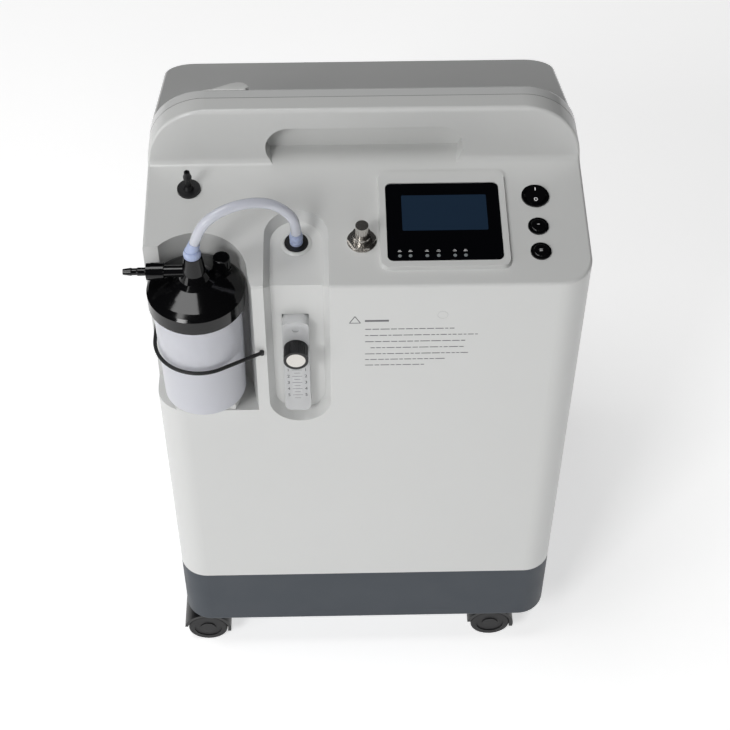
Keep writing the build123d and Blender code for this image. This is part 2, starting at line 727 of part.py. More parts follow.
def make_compressor():
    """Twin-cylinder oil-free compressor body with its feet plate."""
    body = Location((-55, 164, 142), (0, 90, 0)) * rod(42, 110)
    body += brick((-60, 60), (130, 198), (96, 104))
    for x in (-36, 36):
        body += brick((x - 17, x + 17), (150, 178), (170, 198))
    return body


def make_cylinder_heads():
    """Finned heads on the compressor's two cylinders."""
    heads = []
    for x in (-36, 36):
        head = brick((x - 22, x + 22), (142, 186), (198, 222))
        for index in range(4):
            head -= brick((x - 30, x + 30), (140, 188), (201 + index * 5, 203.4 + index * 5)) - brick(
                (x - 16, x + 16), (148, 180), (190, 230)
            )
        heads.append(head)
    return heads


def make_spring_mounts():
    """Four springs under the compressor, drawn as closed turns."""
    mounts = []
    for x in (-50, 50):
        for y in (138, 190):
            mount = rod(4.9, 32)
            for turn in range(5):
                mount += Pos(0, 0, 3.5 + turn * 6.25) * Torus(6.5, 1.8)
            mount += rod(8.5, 2) + rod(8.5, 2, 30)
            mounts.append(Pos(x, y, 64) * mount)
    return mounts


def make_sieve_bed(x):
    """Aluminium canister of zeolite with domed ends and ports."""
    bed = rod(36, 300)
    bed = fillet(bed.edges(), 8)
    bed += rod(6, 12, 298) + rod(10, 4, -3)
    return Pos(x, 240, 62) * bed


def make_product_tank():
    """Tank that evens out the oxygen between bed changes."""
    tank = rod(32, 170)
    tank = fillet(tank.edges(), 9)
    return Pos(-30, 288, 62) * (tank + rod(5, 8, 169))


def make_valve_manifold():
    """Block that switches compressed air between the two beds."""
    block = brick((-160, 160), (222, 258), (374.2, 398))
    for x in (-136, 136):
        block -= Pos(x, 240, 360) * rod(6.05, 20)
    for x in (-90, -30, 30, 90):
        block -= Pos(x, 240, 394) * rod(9, 10)
    return block


def make_solenoids():
    """Four solenoid valves standing in the manifold."""
    valve = rod(8.9, 10) + rod(14, 30, 4.5) + rod(4, 6, 34)
    return [Pos(x, 240, 394.05) * valve for x in (-90, -30, 30, 90)]


def make_fan_frame():
    """Square frame and motor bracket of the cooling fan over the compressor."""
    frame = brick((-60, 60), (104, 224), (236, 274)) - Pos(0, 164, 230) * rod(56.5, 60)
    for angle in (0, 120, 240):
        arm = Rot(0, 0, angle) * brick((15, 58), (-3, 3), (0, 4))
        frame += Pos(0, 164, 236) * arm
    frame += Pos(0, 164, 236) * rod(20, 4)
    frame -= Pos(0, 164, 230) * rod(3 + FIT, 60)
    return frame


def make_fan_rotor():
    """Hub and blades of the cooling fan, with its spindle."""
    rotor = rod(21, 24, 6)
    for index in range(7):
        blade = Pos(37, 0, 18) * Rot(34, 0, 0) * Box(36, 30, 2)
        rotor += Rot(0, 0, index * 360 / 7) * blade
    rotor &= rod(54.5, 60, -10)
    rotor += rod(3, 12, -3)
    return Pos(0, 164, 236) * rotor


def make_heat_exchanger():
    """Aluminium cooling coil over the fan, drawn as nested turns with two legs."""
    coil = Torus(46, 3.4) + Torus(34, 3.4) + Torus(22, 3.4)
    coil += Pos(34, 0, 0) * Box(34, 5, 5)
    coil += Pos(-34, 0, 0) * Box(34, 5, 5)
    return Pos(0, 164, 292) * coil


def make_intake_filter():
    """Intake filter canister behind the filter door."""
    can = rod(30, 28)
    can = fillet(can.edges(), 4)
    can += rod(8, 9, 27)
    return Location((DOOR_X, DEPTH - 36, DOOR_Z), (90, 0, 0)) * can


def make_muffler():
    """Exhaust muffler for the waste nitrogen."""
    body = Location((20, 300, 100), (0, 90, 0)) * rod(20, 86)
    return body + Location((106, 300, 100), (0, 90, 0)) * rod(6, 10)


def make_regulator():
    """Brass pressure regulator on the product tank."""
    body = Pos(-30, 288, 240) * (rod(11, 22, 0.1) + rod(6, 14, 22))
    return body + Location((-30, 288, 252), (0, 90, 0)) * rod(4, 22)


def make_control_board():
    """Main circuit board on edge behind the front face."""
    board = brick((10, 150), (60, 61.6), (330, 450))
    for x, z, w, h, t in BOARD_CHIPS:
        board += brick((x, x + w), (61.5, 61.5 + t), (z, z + h))
    return board


BOARD_CHIPS = [
    (20, 345, 24, 24, 3), (60, 345, 40, 18, 12), (115, 340, 22, 34, 18),
    (22, 400, 18, 30, 14), (60, 390, 30, 30, 2.5), (105, 400, 34, 14, 10),
]


def make_power_supply():
    """Power supply module standing on the tray."""
    box = brick((100, 150), (70, 150), (180, 300))
    for index in range(8):
        box -= brick((99, 101), (80, 140), (190 + index * 13, 195 + index * 13))
    return box + brick((100, 150), (80, 140), (60, 180.1)) - brick((104, 146), (60, 160), (64, 176))


def make_power_inlet():
    """Mains inlet socket with its three pins."""
    body = on_back(INLET_X, INLET_Z, DEPTH - 24) * extrude(RectangleRounded(28, 48, 3), 24)
    body += on_back(INLET_X, INLET_Z, DEPTH) * extrude(RectangleRounded(34, 56, 4), 2)
    body -= on_back(INLET_X, INLET_Z, DEPTH - 16) * extrude(RectangleRounded(17, 25, 3), 20)
    for dx, dz in ((0, 0), (-4, -7), (-4, 7)):
        body += on_back(INLET_X + dx, INLET_Z + dz, DEPTH - 17) * Pos(0, 0, 6) * Box(4, 2, 12)
    return body


def make_circuit_breaker():
    """Threaded circuit breaker body in the back wall."""
    body = rod(11, 2) + rod(8, 22, -21.9)
    body -= rod(4.3, 14, -8)
    return on_back(INLET_X, INLET_Z + 50) * body


def make_breaker_button():
    """Reset button of the circuit breaker."""
    return on_back(INLET_X, INLET_Z + 50) * rod(4.0, 7.3, -4.5)


def make_filter_door():
    """Louvred door over the intake filter foam, held by four snap tabs."""
    low_x, high_x = DOOR_X - DOOR_W / 2, DOOR_X + DOOR_W / 2
    low_z, high_z = DOOR_Z - DOOR_H / 2, DOOR_Z + DOOR_H / 2
    door = brick((low_x, high_x), (DEPTH + GAP, DEPTH + DOOR_PROUD), (low_z, high_z))
    door = fillet(door.edges().filter_by(Axis.Y), 6)
    for row in range(6):
        z = low_z + 18 + row * 12
        door -= brick((low_x + 14, high_x - 14), (DEPTH - 5, DEPTH + 10), (z, z + 5))
    for x in (DOOR_X - 46, DOOR_X + 46):
        for z in (low_z + 4.3, high_z - 4.3):
            door += brick((x - 4, x + 4), (DEPTH - 9, DEPTH + 1), (z - 1, z + 1))
    return door


def make_filter_foam():
    """Washable foam behind the louvred door."""
    return brick(
        (DOOR_X - DOOR_W / 2 + 5, DOOR_X + DOOR_W / 2 - 5),
        (DEPTH - 20, DEPTH - 12),
        (DOOR_Z - DOOR_H / 2 + 5, DOOR_Z + DOOR_H / 2 - 5),
    )


def make_back_screws():
    """Pan-head screws that close the rear shell."""
    return [on_back(x, z) * (rod(4, 2) + rod(2.1, 14, -13.9) - Box(5, 0.9, 2.4)) for x, z in BACK_SCREWS]


def make_cord_hook():
    """Small fin-shaped hook behind the handle ridge for the patient's tube."""
    low, high = RIDGE_TOP - 16, RIDGE_TOP - 1
    outline = polygon(
        [(-122, low), (-122, low + 7), (-109, high), (-101, high), (-95, low)],
        Plane.XZ,
        ((2, 4), (3, 3)),
    )
    return Pos(0, RIDGE_BACK_Y + 8, 0) * extrude(outline, 8)


# ---------------------------------------------------------------- assembly
def build_nodes():
    """All nodes by name, each a solid or a list of separate solids."""
    outer = cabinet_block()
    inner = cabinet_block(WALL)
    nodes = {
        "front_shell": make_front_shell(outer, inner),
        "rear_shell": make_rear_shell(outer, inner),
        "base_tray": make_base_tray(),
        "display_window": make_display_window(),
        "indicator_leds": make_indicator_leds(),
        "lcd_module": make_lcd_module(),
        "display_board": make_display_board(),
        "rocker_bezel": make_rocker_bezel(),
        "power_rocker": make_rocker(),
        "button_bezels": make_button_bezels(),
        "upper_button": make_button(BUTTON_VS[0]),
        "lower_button": make_button(BUTTON_VS[1]),
        "outlet_port": make_outlet_port(),
        "outlet_connector": make_outlet_connector(),
        "spare_port": make_spare_port(),
        "metal_port": make_metal_port(),
        "port_cap": make_port_cap(),
        "flowmeter_body": make_flowmeter_body(),
        "flowmeter_plug": make_flowmeter_plug(),
        "flow_float": make_flow_float(),
        "flow_knob": make_flow_knob(),
        "humidifier_bottle": make_bottle(),
        "humidifier_lid": make_lid(),
        "outlet_nozzle": make_outlet_nozzle(),
        "relief_cap": make_relief_cap(),
        "inlet_connector": make_inlet_connector(),
        "dip_tube": make_dip_tube(),
        "bottle_strap": make_strap(),
        "oxygen_hose": make_oxygen_hose(),
        "compressor_box": make_compressor_box(),
        "compressor": make_compressor(),
        "cylinder_heads": make_cylinder_heads(),
        "spring_mounts": make_spring_mounts(),
        "sieve_beds": [make_sieve_bed(-136), make_sieve_bed(136)],
        "product_tank": make_product_tank(),
        "valve_manifold": make_valve_manifold(),
        "solenoids": make_solenoids(),
        "fan_frame": make_fan_frame(),
        "fan_rotor": make_fan_rotor(),
        "heat_exchanger": make_heat_exchanger(),
        "intake_filter": make_intake_filter(),
        "muffler": make_muffler(),
        "regulator": make_regulator(),
        "power_supply": make_power_supply(),
        "control_board": make_control_board(),
        "power_inlet": make_power_inlet(),
        "circuit_breaker": make_circuit_breaker(),
        "breaker_button": make_breaker_button(),
        "filter_door": make_filter_door(),
        "filter_foam": make_filter_foam(),
        "back_screws": make_back_screws(),
        "cord_hook": make_cord_hook(),
    }
    for name, x, y in caster_points():
        nodes["caster_hood_" + name] = make_caster_hood(x, y)
        nodes["caster_wheels_" + name] = make_caster_wheels(x, y)
    return nodes


def write_nodes(nodes):
    """Write one STEP file per node, in the shared frame."""
    os.makedirs("parts", exist_ok=True)
    for name, shape in nodes.items():
        pieces = shape if isinstance(shape, list) else [shape]
        solids = [solid for piece in pieces for solid in piece.solids()]
        moved = [Pos(*FRAME_SHIFT) * solid for solid in solids]
        export_step(Compound(moved) if len(moved) > 1 else moved[0], "parts/" + name + ".step")


write_nodes(build_nodes())
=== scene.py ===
"""Looks of an oxygen concentrator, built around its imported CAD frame.

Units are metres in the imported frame. Every piece is modelled in place, so all finished objects stay at the
origin. `Cabinet` turns places on the deck and the front face into matrices, measured from the CAD boxes.
"""

import json
import logging
import math
import random
from collections.abc import Callable, Sequence
from dataclasses import dataclass, field
from enum import Enum

import bmesh
import bpy
from mathutils import Matrix, Vector

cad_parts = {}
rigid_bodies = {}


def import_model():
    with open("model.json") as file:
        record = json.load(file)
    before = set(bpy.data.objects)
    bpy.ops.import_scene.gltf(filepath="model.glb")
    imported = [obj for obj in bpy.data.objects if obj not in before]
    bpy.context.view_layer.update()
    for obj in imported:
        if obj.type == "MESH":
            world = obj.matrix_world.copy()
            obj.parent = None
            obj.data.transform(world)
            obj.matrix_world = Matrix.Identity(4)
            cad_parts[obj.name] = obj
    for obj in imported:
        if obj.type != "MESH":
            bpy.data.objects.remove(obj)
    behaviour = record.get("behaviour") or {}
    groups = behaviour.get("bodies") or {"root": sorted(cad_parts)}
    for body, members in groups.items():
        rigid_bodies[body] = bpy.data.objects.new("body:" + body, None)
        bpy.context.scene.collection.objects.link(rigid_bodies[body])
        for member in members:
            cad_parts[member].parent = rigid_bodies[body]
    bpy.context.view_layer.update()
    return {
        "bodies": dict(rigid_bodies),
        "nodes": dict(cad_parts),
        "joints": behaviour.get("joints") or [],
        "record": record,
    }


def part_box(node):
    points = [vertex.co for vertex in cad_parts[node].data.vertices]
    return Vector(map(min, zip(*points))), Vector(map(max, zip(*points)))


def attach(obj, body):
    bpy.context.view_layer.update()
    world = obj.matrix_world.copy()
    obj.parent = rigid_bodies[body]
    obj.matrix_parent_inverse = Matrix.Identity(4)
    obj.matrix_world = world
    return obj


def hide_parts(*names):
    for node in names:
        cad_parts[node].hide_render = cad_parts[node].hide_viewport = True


LOG = logging.getLogger("oxygen_concentrator")
MM = 0.001
SEED = 11
SMOOTH_ANGLE = math.radians(32)
MERGE_DISTANCE = 1e-7

Color = tuple[float, float, float]


class Slot(Enum):
    """Material slots of the record."""

    BODY = "off_white_plastic"
    # Painted shade: this slot's finish is the body's off-white plastic made a little darker.
    SHADED_REAR = "rear_plastic"
    SKIRT = "skirt_plastic"
    BLACK_GLOSS = "black_gloss"
    BLACK_SATIN = "black_satin"
    TREAD = "caster_tread"
    DISPLAY = "display_glass"
    CLEAR = "clear_acrylic"
    BOTTLE = "frosted_bottle"
    PALE_BLUE = "pale_blue_plastic"
    HOSE = "hose_pvc"
    STRAP = "strap_rubber"
    NICKEL = "nickel"
    STEEL = "steel"
    ALUMINIUM = "aluminium"
    BRASS = "brass"
    BOARD = "circuit_board"
    SOUND_BOX = "sound_box"
    FOAM = "filter_foam"
    LED = "led_lens"
    FLOAT = "float_ball"


# ---------------------------------------------------------------- finishes
@dataclass(frozen=True)
class Finish:
    """One procedural surface, varied on Object coordinates.

    Attributes:
        color: Linear base colour.
        roughness: Middle roughness.
        metallic: 0 for plastic, 1 for metal.
        transmission: Share of light that passes through.
        coat: Weight of the clear coat.
        coat_roughness: Roughness of the clear coat.
        subsurface: Weight of scattering under the surface.
        mottle: How far the colour strays from its middle.
        grain: Bump height in metres.
        grain_scale: Size of the bump noise, in cycles a metre.
        ior: Index of refraction.
    """

    color: Color
    roughness: float = 0.35
    metallic: float = 0.0
    transmission: float = 0.0
    coat: float = 0.0
    coat_roughness: float = 0.08
    subsurface: float = 0.0
    mottle: float = 0.03
    grain: float = 0.00002
    grain_scale: float = 900.0
    ior: float = 1.46

    def build(self, name: str) -> bpy.types.Material:
        """Makes the node material.

        Args:
            name: Name of the material.

        Returns:
            The new material.
        """
        material = bpy.data.materials.new(name)
        material.use_nodes = True
        tree = material.node_tree
        shader = tree.nodes["Principled BSDF"]
        place = tree.nodes.new("ShaderNodeTexCoord")
        self._mottled_color(tree, shader, place)
        self._rough(tree, shader, place)
        if self.grain:
            self._bumped(tree, shader, place)
        shader.inputs["Metallic"].default_value = self.metallic
        shader.inputs["Transmission Weight"].default_value = self.transmission
        shader.inputs["Coat Weight"].default_value = self.coat
        shader.inputs["Coat Roughness"].default_value = self.coat_roughness
        shader.inputs["IOR"].default_value = self.ior
        if self.subsurface:
            shader.inputs["Subsurface Weight"].default_value = self.subsurface
            shader.inputs["Subsurface Radius"].default_value = (0.004, 0.004, 0.004)
        return material

    def _noise(
        self, tree: bpy.types.NodeTree, place: bpy.types.Node, scale: float, detail: float
    ) -> bpy.types.Node:
        """Adds a noise texture on Object coordinates.

        Args:
            tree: Node tree of the material.
            place: Texture coordinate node.
            scale: Cycles a metre.
            detail: Octaves of noise.

        Returns:
            The noise node.
        """
        noise = tree.nodes.new("ShaderNodeTexNoise")
        noise.inputs["Scale"].default_value = scale
        noise.inputs["Detail"].default_value = detail
        tree.links.new(place.outputs["Object"], noise.inputs["Vector"])
        return noise

    def _mottled_color(self, tree: bpy.types.NodeTree, shader: bpy.types.Node, place: bpy.types.Node) -> None:
        """Lets the base colour stray a little over the surface."""
        noise = self._noise(tree, place, 9.0, 4.0)
        mix = tree.nodes.new("ShaderNodeMix")
        mix.data_type = "RGBA"
        darker = [max(0.0, channel * (1 - self.mottle)) for channel in self.color]
        lighter = [min(1.0, channel * (1 + self.mottle)) for channel in self.color]
        mix.inputs["A"].default_value = (*darker, 1)
        mix.inputs["B"].default_value = (*lighter, 1)
        tree.links.new(noise.outputs["Fac"], mix.inputs["Factor"])
        tree.links.new(mix.outputs["Result"], shader.inputs["Base Color"])

    def _rough(self, tree: bpy.types.NodeTree, shader: bpy.types.Node, place: bpy.types.Node) -> None:
        """Varies the roughness as handling does."""
        noise = self._noise(tree, place, 28.0, 3.0)
        spread = tree.nodes.new("ShaderNodeMapRange")
        spread.inputs["To Min"].default_value = self.roughness * 0.85
        spread.inputs["To Max"].default_value = min(1.0, self.roughness * 1.15)
        tree.links.new(noise.outputs["Fac"], spread.inputs["Value"])
        tree.links.new(spread.outputs["Result"], shader.inputs["Roughness"])

    def _bumped(self, tree: bpy.types.NodeTree, shader: bpy.types.Node, place: bpy.types.Node) -> None:
        """Adds the fine moulded or machined grain."""
        noise = self._noise(tree, place, self.grain_scale, 2.0)
        bump = tree.nodes.new("ShaderNodeBump")
        bump.inputs["Distance"].default_value = self.grain
        tree.links.new(noise.outputs["Fac"], bump.inputs["Height"])
        tree.links.new(bump.outputs["Normal"], shader.inputs["Normal"])


@dataclass(frozen=True)
class Emissive(Finish):
    """A finish that also glows; here it gives the display window a painted glow and the floor an even
    brightness.

    Attributes:
        glow: Strength of the light given off.
    """

    glow: float = 0.0

    def build(self, name: str) -> bpy.types.Material:
        """Makes the material and lights it."""
        material = super().build(name)
        shader = material.node_tree.nodes["Principled BSDF"]
        shader.inputs["Emission Color"].default_value = (*self.color, 1)
        shader.inputs["Emission Strength"].default_value = self.glow
        return material


FINISHES: dict[Slot, Finish] = {
    Slot.BODY: Finish((0.67, 0.675, 0.665), 0.32, coat=0.2, mottle=0.012, grain=0.00003, grain_scale=1300),
    # Rear shell: the body's off-white made a little darker, as painted shade for its top sloping away from
    # the light; it is also glossier.
    Slot.SHADED_REAR: Finish((0.64, 0.645, 0.64), 0.22, coat=0.4, mottle=0.012, grain=0.00001),
    Slot.SKIRT: Finish((0.034, 0.044, 0.058), 0.5, mottle=0.04, grain=0.00006, grain_scale=1500),
    Slot.BLACK_GLOSS: Finish((0.003, 0.003, 0.0035), 0.1, grain=0.0, ior=1.42),
    Slot.BLACK_SATIN: Finish((0.008, 0.008, 0.009), 0.38),
    Slot.TREAD: Finish((0.014, 0.014, 0.015), 0.6, grain=0.00005),
    Slot.DISPLAY: Finish((0.002, 0.0022, 0.003), 0.08, grain=0.0, ior=1.2),
    Slot.CLEAR: Finish((0.90, 0.91, 0.92), 0.08, transmission=0.45, ior=1.49, grain=0.0),
    Slot.BOTTLE: Finish((0.86, 0.87, 0.93), 0.3, transmission=0.4, subsurface=0.3, mottle=0.02),
    Slot.PALE_BLUE: Finish((0.52, 0.60, 0.84), 0.3, transmission=0.15, subsurface=0.3, mottle=0.02),
    Slot.HOSE: Finish((0.86, 0.88, 0.97), 0.16, transmission=0.35, coat=0.3, subsurface=0.2, grain=0.00001),
    Slot.STRAP: Finish((0.012, 0.012, 0.013), 0.55),
    Slot.NICKEL: Finish((0.62, 0.60, 0.57), 0.22, metallic=1.0, grain=0.00001),
    Slot.STEEL: Finish((0.50, 0.51, 0.52), 0.35, metallic=1.0),
    Slot.ALUMINIUM: Finish((0.70, 0.71, 0.72), 0.4, metallic=1.0),
    Slot.BRASS: Finish((0.62, 0.44, 0.18), 0.3, metallic=1.0),
    Slot.BOARD: Finish((0.01, 0.10, 0.04), 0.35),
    Slot.SOUND_BOX: Finish((0.12, 0.12, 0.12), 0.8, grain=0.0003, grain_scale=400),
    Slot.FOAM: Finish((0.02, 0.02, 0.02), 0.95, grain=0.001, grain_scale=600),
    Slot.LED: Finish((0.30, 0.33, 0.34), 0.25, transmission=0.2),
    Slot.FLOAT: Finish((0.60, 0.05, 0.03), 0.25),
}


class Palette:
    """Materials by slot, made once and shared."""

    def __init__(self) -> None:
        self._made = {slot: finish.build(slot.value) for slot, finish in FINISHES.items()}
        self.white = Finish((0.80, 0.80, 0.80), 0.5, grain=0.0).build("white_print")
        self.grey = Finish((0.16, 0.16, 0.17), 0.6, grain=0.0).build("grey_print")
        self.ink = Finish((0.015, 0.015, 0.018), 0.5, grain=0.0).build("black_ink")
        # Painted glow: the display window gives off a faint light in its own navy colour.
        navy_painted_glow = Emissive((0.009, 0.019, 0.036), 0.09, grain=0.0, glow=0.35)
        self.navy_painted_glow = navy_painted_glow.build("display_navy")
        self.seam = Finish((0.20, 0.20, 0.20), 0.7, grain=0.0).build("seam_shadow")
        floor = Emissive((0.88, 0.88, 0.88), 0.75, mottle=0.004, grain=0.0, glow=0.7)
        self.floor = floor.build("studio_floor")

    def __getitem__(self, slot: Slot) -> bpy.types.Material:
        """The material of a slot."""
        return self._made[slot]


# ---------------------------------------------------------------- places
class Cabinet:
    """Places on the cabinet, from the CAD boxes.

    Args:
        deck_angle: Rise of the control deck, in degrees.
        crease: Height where the deck meets the front face.
    """

    def __init__(self, deck_angle: float = 8.47, crease: float = 0.532) -> None:
        low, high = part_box("base_tray")
        self.origin = Vector(((low.x + high.x) / 2, low.y, 0.0))
        self.half_width = (high.x - low.x) / 2
        self.crease = crease
        self.deck_angle = math.radians(deck_angle)

    def point(self, x: float, y: float, z: float) -> Vector:
        """A point from millimetres across, back from the front face, and up."""
        return self.origin + Vector((x, y, z)) * MM

    def deck(self, x: float, v: float, rise: float = 0.0) -> Matrix:
        """Matrix on the deck: x across, v up the slope, local Z along its normal."""
        turn = Matrix.Rotation(self.deck_angle, 4, "X")
        start = Matrix.Translation(self.origin + Vector((0, 0, self.crease)))
        return start @ turn @ Matrix.Translation(Vector((x, v, rise)) * MM)

    def front(self, x: float, z: float, proud: float = 0.0) -> Matrix:
        """Matrix on the front face: local X across, local Y up, local Z forwards."""
        place = Matrix.Translation(self.point(x, -proud, z))
        return place @ Matrix.Rotation(math.pi / 2, 4, "X")


# ---------------------------------------------------------------- meshes
Builder = Callable[[bmesh.types.BMesh], None]


def link_mesh(name: str, body: str, material: bpy.types.Material, build: Builder) -> bpy.types.Object:
    """Makes a mesh object from a builder and lets it ride on a CAD body.

    Args:
        name: Object name.
        body: CAD body that it moves with.
        material: Its material.
        build: Fills the bmesh, in metres in the frame.

    Returns:
        The linked object.
    """
    bm = bmesh.new()
    build(bm)
    bmesh.ops.remove_doubles(bm, verts=bm.verts, dist=MERGE_DISTANCE)
    bmesh.ops.recalc_face_normals(bm, faces=bm.faces)
    mesh = bpy.data.meshes.new(name)
    bm.to_mesh(mesh)
    bm.free()
    mesh.shade_smooth()
    mesh.set_sharp_from_angle(angle=SMOOTH_ANGLE)
    mesh.materials.append(material)
    piece = bpy.data.objects.new(name, mesh)
    bpy.context.scene.collection.objects.link(piece)
    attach(piece, body)
    return piece


def add_plate(bm: bmesh.types.BMesh, place: Matrix, size: Sequence[float], corner: float) -> None:
    """Adds a block with rounded corners that stands on local Z = 0.

    Args:
        bm: Mesh to add to.
        place: Its place in the frame.
        size: Width, height and thickness in millimetres.
        corner: Radius of the four corners, in millimetres.
    """
    width, height, thickness = (value * MM for value in size)
    made = bmesh.ops.create_cube(bm, size=1.0)["verts"]
    bmesh.ops.scale(bm, vec=(width, height, thickness), verts=made)
    bmesh.ops.translate(bm, vec=(0, 0, thickness / 2), verts=made)
    faces = {face for vert in made for face in vert.link_faces}
    edges = {item for face in faces for item in face.edges}
    upright = [item for item in edges if abs(item.verts[0].co.z - item.verts[1].co.z) > thickness * 0.5]
    bevelled = bmesh.ops.bevel(
        bm, geom=upright, offset=corner * MM, segments=10, profile=0.5, affect="EDGES", material=-1
    )
    made = {vert for face in bevelled["faces"] for vert in face.verts} | {v for v in made if v.is_valid}
    island = {vert for start in made for face in start.link_faces for vert in face.verts}
    bmesh.ops.transform(bm, matrix=place, verts=list(island))


def add_spun(
    bm: bmesh.types.BMesh, place: Matrix, profile: Sequence[tuple[float, float]], steps: int = 64
) -> None:
    """Adds a full turn of a profile about local Z.

    Args:
        bm: Mesh to add to.
        place: Place of the axis.
        profile: (radius, height) points in millimetres.
        steps: Number of steps in the turn.
    """
    verts = [bm.verts.new((radius * MM, 0, height * MM)) for radius, height in profile]
    edges = [bm.edges.new(pair) for pair in zip(verts, verts[1:])]
    spun = bmesh.ops.spin(
        bm,
        geom=[*verts, *edges],
        cent=(0, 0, 0),
        axis=(0, 0, 1),
        angle=2 * math.pi,
        steps=steps,
        use_merge=True,
    )
    found = {item for item in spun["geom_last"] if isinstance(item, bmesh.types.BMVert)}
    found.update(verts)
    island = connected(found)
    bmesh.ops.remove_doubles(bm, verts=list(island), dist=MERGE_DISTANCE)
    island = connected({vert for vert in island if vert.is_valid})
    bmesh.ops.transform(bm, matrix=place, verts=list(island))


def connected(start: set[bmesh.types.BMVert]) -> set[bmesh.types.BMVert]:
    """Finds every vertex joined by edges to the starting ones.

    Args:
        start: Vertices to start from.

    Returns:
        The starting vertices and all that they lead to.
    """
    found = set(start)
    queue = list(start)
    while queue:
        vert = queue.pop()
        for edge in vert.link_edges:
            other = edge.other_vert(vert)
            if other not in found:
                found.add(other)
                queue.append(other)
    return found


def add_flat(bm: bmesh.types.BMesh, place: Matrix, width: float, height: float) -> None:
    """Adds one flat printed mark.

    Args:
        bm: Mesh to add to.
        place: Place of its middle.
        width: Size along local X, in millimetres.
        height: Size along local Y, in millimetres.
    """
    scale = Matrix.Diagonal((width * MM / 2, height * MM / 2, 1, 1))
    bmesh.ops.create_grid(bm, x_segments=1, y_segments=1, size=1.0, matrix=place @ scale)


def text_mesh(text: str, height: float, place: Matrix) -> bpy.types.Mesh:
    """Mesh of a plain numeral.

    Args:
        text: What it says.
        height: Letter size in millimetres.
        place: Its place in the frame.

    Returns:
        The mesh, already in place.
    """
    curve = bpy.data.curves.new("numeral", "FONT")
    curve.body = text
    curve.size = height * MM
    curve.align_x = "CENTER"
    curve.align_y = "CENTER"
    holder = bpy.data.objects.new("numeral", curve)
    mesh = bpy.data.meshes.new_from_object(holder)
    bpy.data.objects.remove(holder)
    bpy.data.curves.remove(curve)
    mesh.transform(place)
    return mesh


# ---------------------------------------------------------------- sub-assemblies
# How far printed marks stand off the front face, in millimetres.
PRINT_LIFT = 0.04


@dataclass(frozen=True)
class PrintLine:
    """One line of generic print: its left end, right end and height from the crease, in millimetres."""

    left: float
    right: float
    drop: float


@dataclass(frozen=True)
class FrontPrint:
    """Generic block of thin dashes on the front face, with a plain triangle beside it.

    Attributes:
        lines: The lines of dashes.
        heading: The thicker stroke above them.
        triangle: Place across, height from the crease and radius of the triangle.
        stroke: Thickness of a dash.
        heading_stroke: Thickness of the heading.
        dash: Shortest and longest dash.
        gap: Space between two dashes.
        leftover: A line ends when less than this is left of it.
    """

    lines: tuple[PrintLine, ...] = (
        PrintLine(-2.0, 74.0, -50.0),
        PrintLine(-2.0, 91.0, -57.5),
        PrintLine(-2.0, 81.0, -65.0),
        PrintLine(2.5, 80.0, -72.5),
        PrintLine(-2.0, 84.0, -80.0),
        PrintLine(-2.0, 66.0, -87.0),
        PrintLine(-2.0, 48.0, -94.0),
    )
    heading: PrintLine = PrintLine(-2.4, 17.3, -40.0)
    triangle: tuple[float, float, float] = (-10.5, -39.8, 5.2)
    stroke: float = 0.95
    heading_stroke: float = 2.2
    dash: tuple[float, float] = (2.2, 8.0)
    gap: float = 1.1
    leftover: float = 2.0

    def build(self, cabinet: Cabinet, palette: Palette) -> None:
        """Makes the print on the front shell."""
        rng = random.Random(SEED)
        crease = cabinet.crease / MM

        def marks(bm: bmesh.types.BMesh) -> None:
            for line in self.lines:
                x = line.left
                while x < line.right - self.leftover:
                    width = min(rng.uniform(*self.dash), line.right - x)
                    place = cabinet.front(x + width / 2, crease + line.drop, PRINT_LIFT)
                    add_flat(bm, place, width, self.stroke)
                    x += width + self.gap
            middle = (self.heading.left + self.heading.right) / 2
            place = cabinet.front(middle, crease + self.heading.drop, PRINT_LIFT)
            add_flat(bm, place, self.heading.right - self.heading.left, self.heading_stroke)
            self._triangle(bm, cabinet, crease)

        link_mesh("front_print", "cabinet", palette.grey, marks)

    def _triangle(self, bm: bmesh.types.BMesh, cabinet: Cabinet, crease: float) -> None:
        """Adds the outline of a triangle from three strokes."""
        x, drop, radius = self.triangle
        for index in range(3):
            turn = Matrix.Rotation(math.radians(120 * index), 4, "Z")
            side = Matrix.Translation((0, -radius * 0.5 * MM, 0))
            middle = cabinet.front(x, crease + drop, PRINT_LIFT)
            add_flat(bm, middle @ turn @ side, radius * 1.75, 0.8)


@dataclass(frozen=True)
class Dimple:
    """Thin ring round the small dimple on the front face, sized in millimetres."""

    x: float = 61.2
    drop: float = -34.1
    radius: float = 4.4

    def build(self, cabinet: Cabinet, palette: Palette) -> None:
        """Makes the ring."""
        place = cabinet.front(self.x, cabinet.crease / MM + self.drop, 0.0)
        profile = ((self.radius, 0.02), (self.radius - 0.25, 0.16), (self.radius - 0.5, 0.02))
        link_mesh("front_dimple", "cabinet", palette[Slot.SHADED_REAR], lambda bm: add_spun(bm, place, profile))


